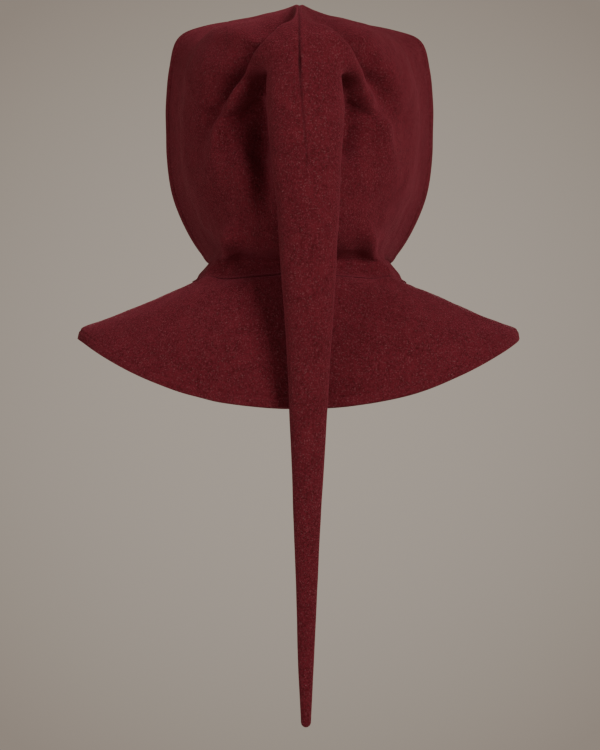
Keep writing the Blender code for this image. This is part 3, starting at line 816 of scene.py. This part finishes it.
# Floor and light
# A pale floor lies far below the picture's foot. One big soft light stands to the right of the
# camera and above it, a weak wide one on the left lifts the shadows, and one on the face
# opening's side shows the front.
FLOOR_Z = -1.5
FLOOR_RADIUS = 4.0
FLOOR_CORNERS = 96
PALE = (0.80, 0.76, 0.70, 1.0)
FLOOR_ROUGHNESS = 0.9

angle = np.linspace(0, 2 * np.pi, FLOOR_CORNERS + 1)[:-1]
rim = np.stack([FLOOR_RADIUS * np.cos(angle), FLOOR_RADIUS * np.sin(angle), 0 * angle + FLOOR_Z], 1)
floor_mesh = bpy.data.meshes.new("floor")
floor_mesh.from_pydata(rim.tolist(), [], [list(range(len(rim)))])
floor = bpy.data.objects.new("floor", floor_mesh)
bpy.context.scene.collection.objects.link(floor)
floor_paint = bpy.data.materials.new("pale_floor")
floor_paint.use_nodes = True
floor_shader = floor_paint.node_tree.nodes["Principled BSDF"]
floor_shader.inputs["Base Color"].default_value = PALE
floor_shader.inputs["Roughness"].default_value = FLOOR_ROUGHNESS
floor.data.materials.append(floor_paint)

# The room is pale and warm, a little lighter straight behind the hood and dimmer overhead. The
# glow is measured by the cosine of the angle from straight behind, the dimming by the height.
ROOM_FAR = (0.375, 0.315, 0.262, 1.0)
ROOM_NEAR = (0.54, 0.47, 0.40, 1.0)
ROOM_STRENGTH = 0.80
BEHIND = (0.0, -1.0, 0.0)
GLOW = (0.986, 1.0)
OVERHEAD = (0.1, 0.9)
CEILING_SHARE = 0.4

world = bpy.data.worlds.new("pale_room")
world.use_nodes = True
tree = world.node_tree
background = tree.nodes["Background"]
background.inputs["Strength"].default_value = ROOM_STRENGTH
look = node(tree, "ShaderNodeTexCoord", (-900, 0))
towards = node(tree, "ShaderNodeVectorMath", (-700, 0), operation="DOT_PRODUCT")
towards.inputs[1].default_value = BEHIND
glow = mapped(tree, (-500, 0), GLOW, (0.0, 1.0))
blend = node(tree, "ShaderNodeMix", (-250, 0), data_type="RGBA")
blend.inputs["A"].default_value = ROOM_FAR
blend.inputs["B"].default_value = ROOM_NEAR
tree.links.new(look.outputs["Generated"], towards.inputs[0])
tree.links.new(towards.outputs["Value"], glow.inputs["Value"])
tree.links.new(glow.outputs["Result"], blend.inputs["Factor"])
height = node(tree, "ShaderNodeSeparateXYZ", (-700, -250))
dim = mapped(tree, (-500, -250), OVERHEAD, (1.0, CEILING_SHARE))
shaded = node(tree, "ShaderNodeVectorMath", (-50, 0), operation="SCALE")
tree.links.new(look.outputs["Generated"], height.inputs[0])
tree.links.new(height.outputs["Z"], dim.inputs["Value"])
tree.links.new(blend.outputs["Result"], shaded.inputs[0])
tree.links.new(dim.outputs["Result"], shaded.inputs["Scale"])
tree.links.new(shaded.outputs[0], background.inputs["Color"])
bpy.context.scene.world = world


def soft_light(name, place, aim, size, power, colour):
    """A square light of that size and power at a place, turned to face aim."""
    lamp = bpy.data.lights.new(name, "AREA")
    lamp.size, lamp.energy, lamp.color = size, power, colour
    made = bpy.data.objects.new(name, lamp)
    bpy.context.scene.collection.objects.link(made)
    made.location = place
    made.rotation_euler = (Vector(aim) - Vector(place)).to_track_quat("-Z", "Y").to_euler()


soft_light(
    "key",
    place=(-1.2, 2.1, 0.8),
    aim=(0, 0.05, -0.25),
    size=0.8,
    power=58,
    colour=(1.0, 0.95, 0.94),
)
soft_light(
    "fill",
    place=(1.9, 1.7, 0.1),
    aim=(0, 0, -0.3),
    size=1.4,
    power=21,
    colour=(1.0, 0.96, 0.97),
)
soft_light(
    "front",
    place=(0.0, -1.9, 0.0),
    aim=(0, 0, -0.2),
    size=0.7,
    power=16,
    colour=(1.0, 0.97, 0.95),
)
